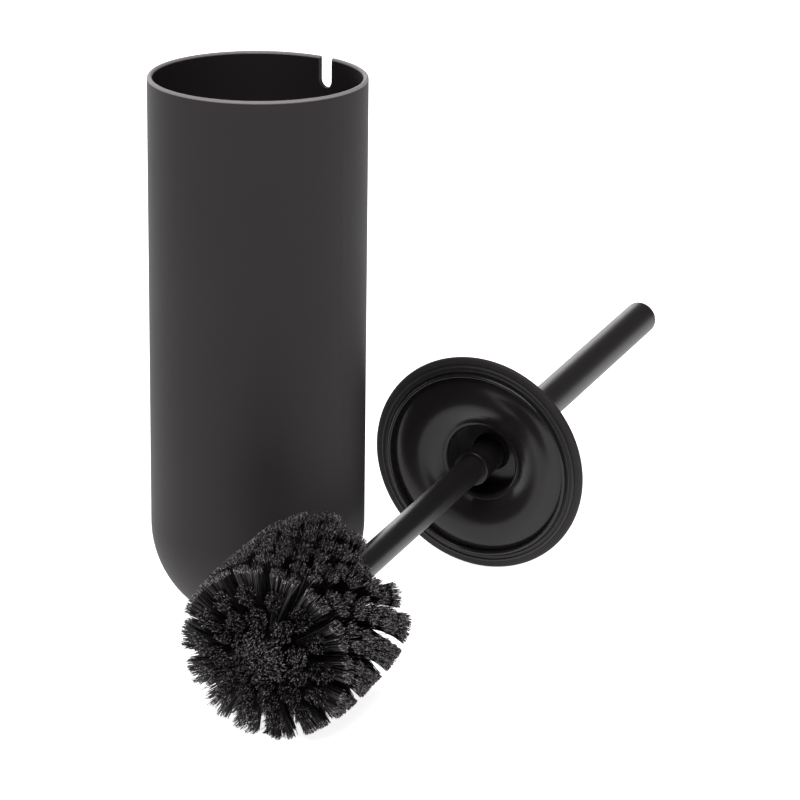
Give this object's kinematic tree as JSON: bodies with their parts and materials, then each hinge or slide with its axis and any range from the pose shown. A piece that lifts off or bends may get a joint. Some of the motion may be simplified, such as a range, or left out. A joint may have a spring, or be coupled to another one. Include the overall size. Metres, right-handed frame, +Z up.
{
  "type": "toilet brush holder",
  "caption": "Tall round matte canister with a notched rim and round bottom, and a separate lidded brush with a straight handle and a bristle head, lying beside it.",
  "frame": {"origin": "centre of the canister's foot, on the floor", "axes": "+Z up along the canister's axis; +Y towards the notch in the rim"},
  "size_m": [0.1917, 0.4404, 0.255],
  "materials": {
    "canister_plastic": "fine matte, warm charcoal",
    "base_plastic": "plain moulded",
    "weight_steel": "zinc plated",
    "fastener_steel": "zinc plated",
    "foot_rubber": "soft matte",
    "lid_matte": "fine matte",
    "lid_gloss": "polished moulding",
    "seal_rubber": "soft matte",
    "handle_coat": "fine matte",
    "handle_cap_plastic": "fine matte",
    "shaft_coat": "satin",
    "core_plastic": "moulded",
    "bristle": "synthetic filament tufts"
  },
  "bodies": {
    "canister": {"canister_shell": "canister_plastic", "base_weight": "weight_steel", "base_plate": "base_plastic", "base_screws": "fastener_steel", "foot_pad": "foot_rubber"},
    "brush": {"lid_cover": "lid_matte", "lid_liner": "lid_gloss", "lid_seal": "seal_rubber", "hub_collar": "lid_gloss", "handle_tube": "handle_coat", "handle_end_cap": "handle_cap_plastic", "handle_socket": "base_plastic", "shaft_tube": "shaft_coat", "tie_rod": "fastener_steel", "head_stud": "core_plastic"},
    "seal": {"head_seal": "seal_rubber"},
    "head": {"head_core": "core_plastic", "bristle_end": "bristle", "bristle_row_1": "bristle", "bristle_row_2": "bristle", "bristle_row_3": "bristle", "bristle_row_4": "bristle", "bristle_row_5": "bristle", "bristle_row_6": "bristle", "bristle_row_7": "bristle", "bristle_row_8": "bristle"}
  },
  "joints": [
    {"name": "brush_tip_up", "type": "hinge", "parent": "canister", "child": "brush", "pos_m": [0.02924, -0.07612, 0.09392], "axis": [0.8573, -0.2356, -0.4578], "range_deg": [0, 99.88]},
    {"name": "head_turn", "type": "hinge", "parent": "brush", "child": "seal", "pos_m": [0.08716, -0.04891, 0.04253], "axis": [-0.2277, 0.9709, 0.0739], "range_deg": [0, 1440]},
    {"name": "head_travel", "type": "slide", "parent": "seal", "child": "head", "axis": [0.2277, -0.9709, -0.0739], "range_m": [0, 0.012]}
  ],
  "couplings": [
    {"joint": "head_travel", "follows": "head_turn", "m_per_rad": 0.00047746}
  ]
}
